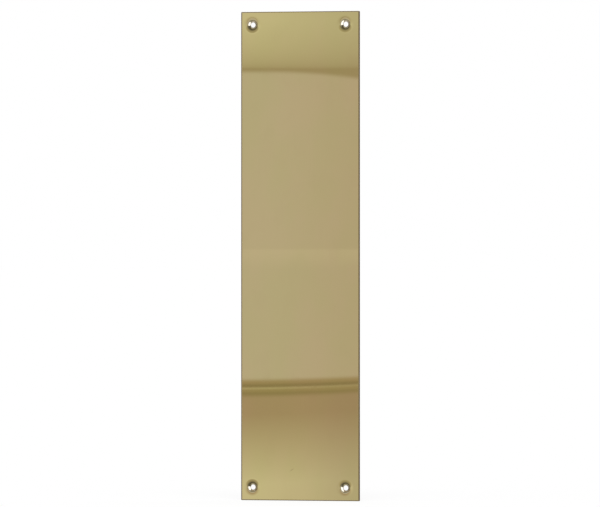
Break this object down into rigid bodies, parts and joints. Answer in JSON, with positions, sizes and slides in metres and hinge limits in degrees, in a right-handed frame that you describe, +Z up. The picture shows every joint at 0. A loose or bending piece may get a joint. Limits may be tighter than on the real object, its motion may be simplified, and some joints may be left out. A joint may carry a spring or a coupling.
{
  "type": "door finger plate",
  "caption": "Flat rectangular polished brass finger plate that screws to a door to keep hand marks off it, with a countersunk hole near each corner.",
  "frame": {"origin": "centre of the back face, the face that lies against the door", "axes": "+Z up the door along the plate's length, +X across the door, +Y into the door, so the polished face looks along -Y"},
  "size_m": [0.075, 0.0025, 0.3],
  "materials": {
    "polished_brass": "buffed to a mirror polish on the face, plain rolled sheet on the back"
  },
  "bodies": {
    "root": {"finger_plate": "polished_brass"}
  },
  "joints": []
}
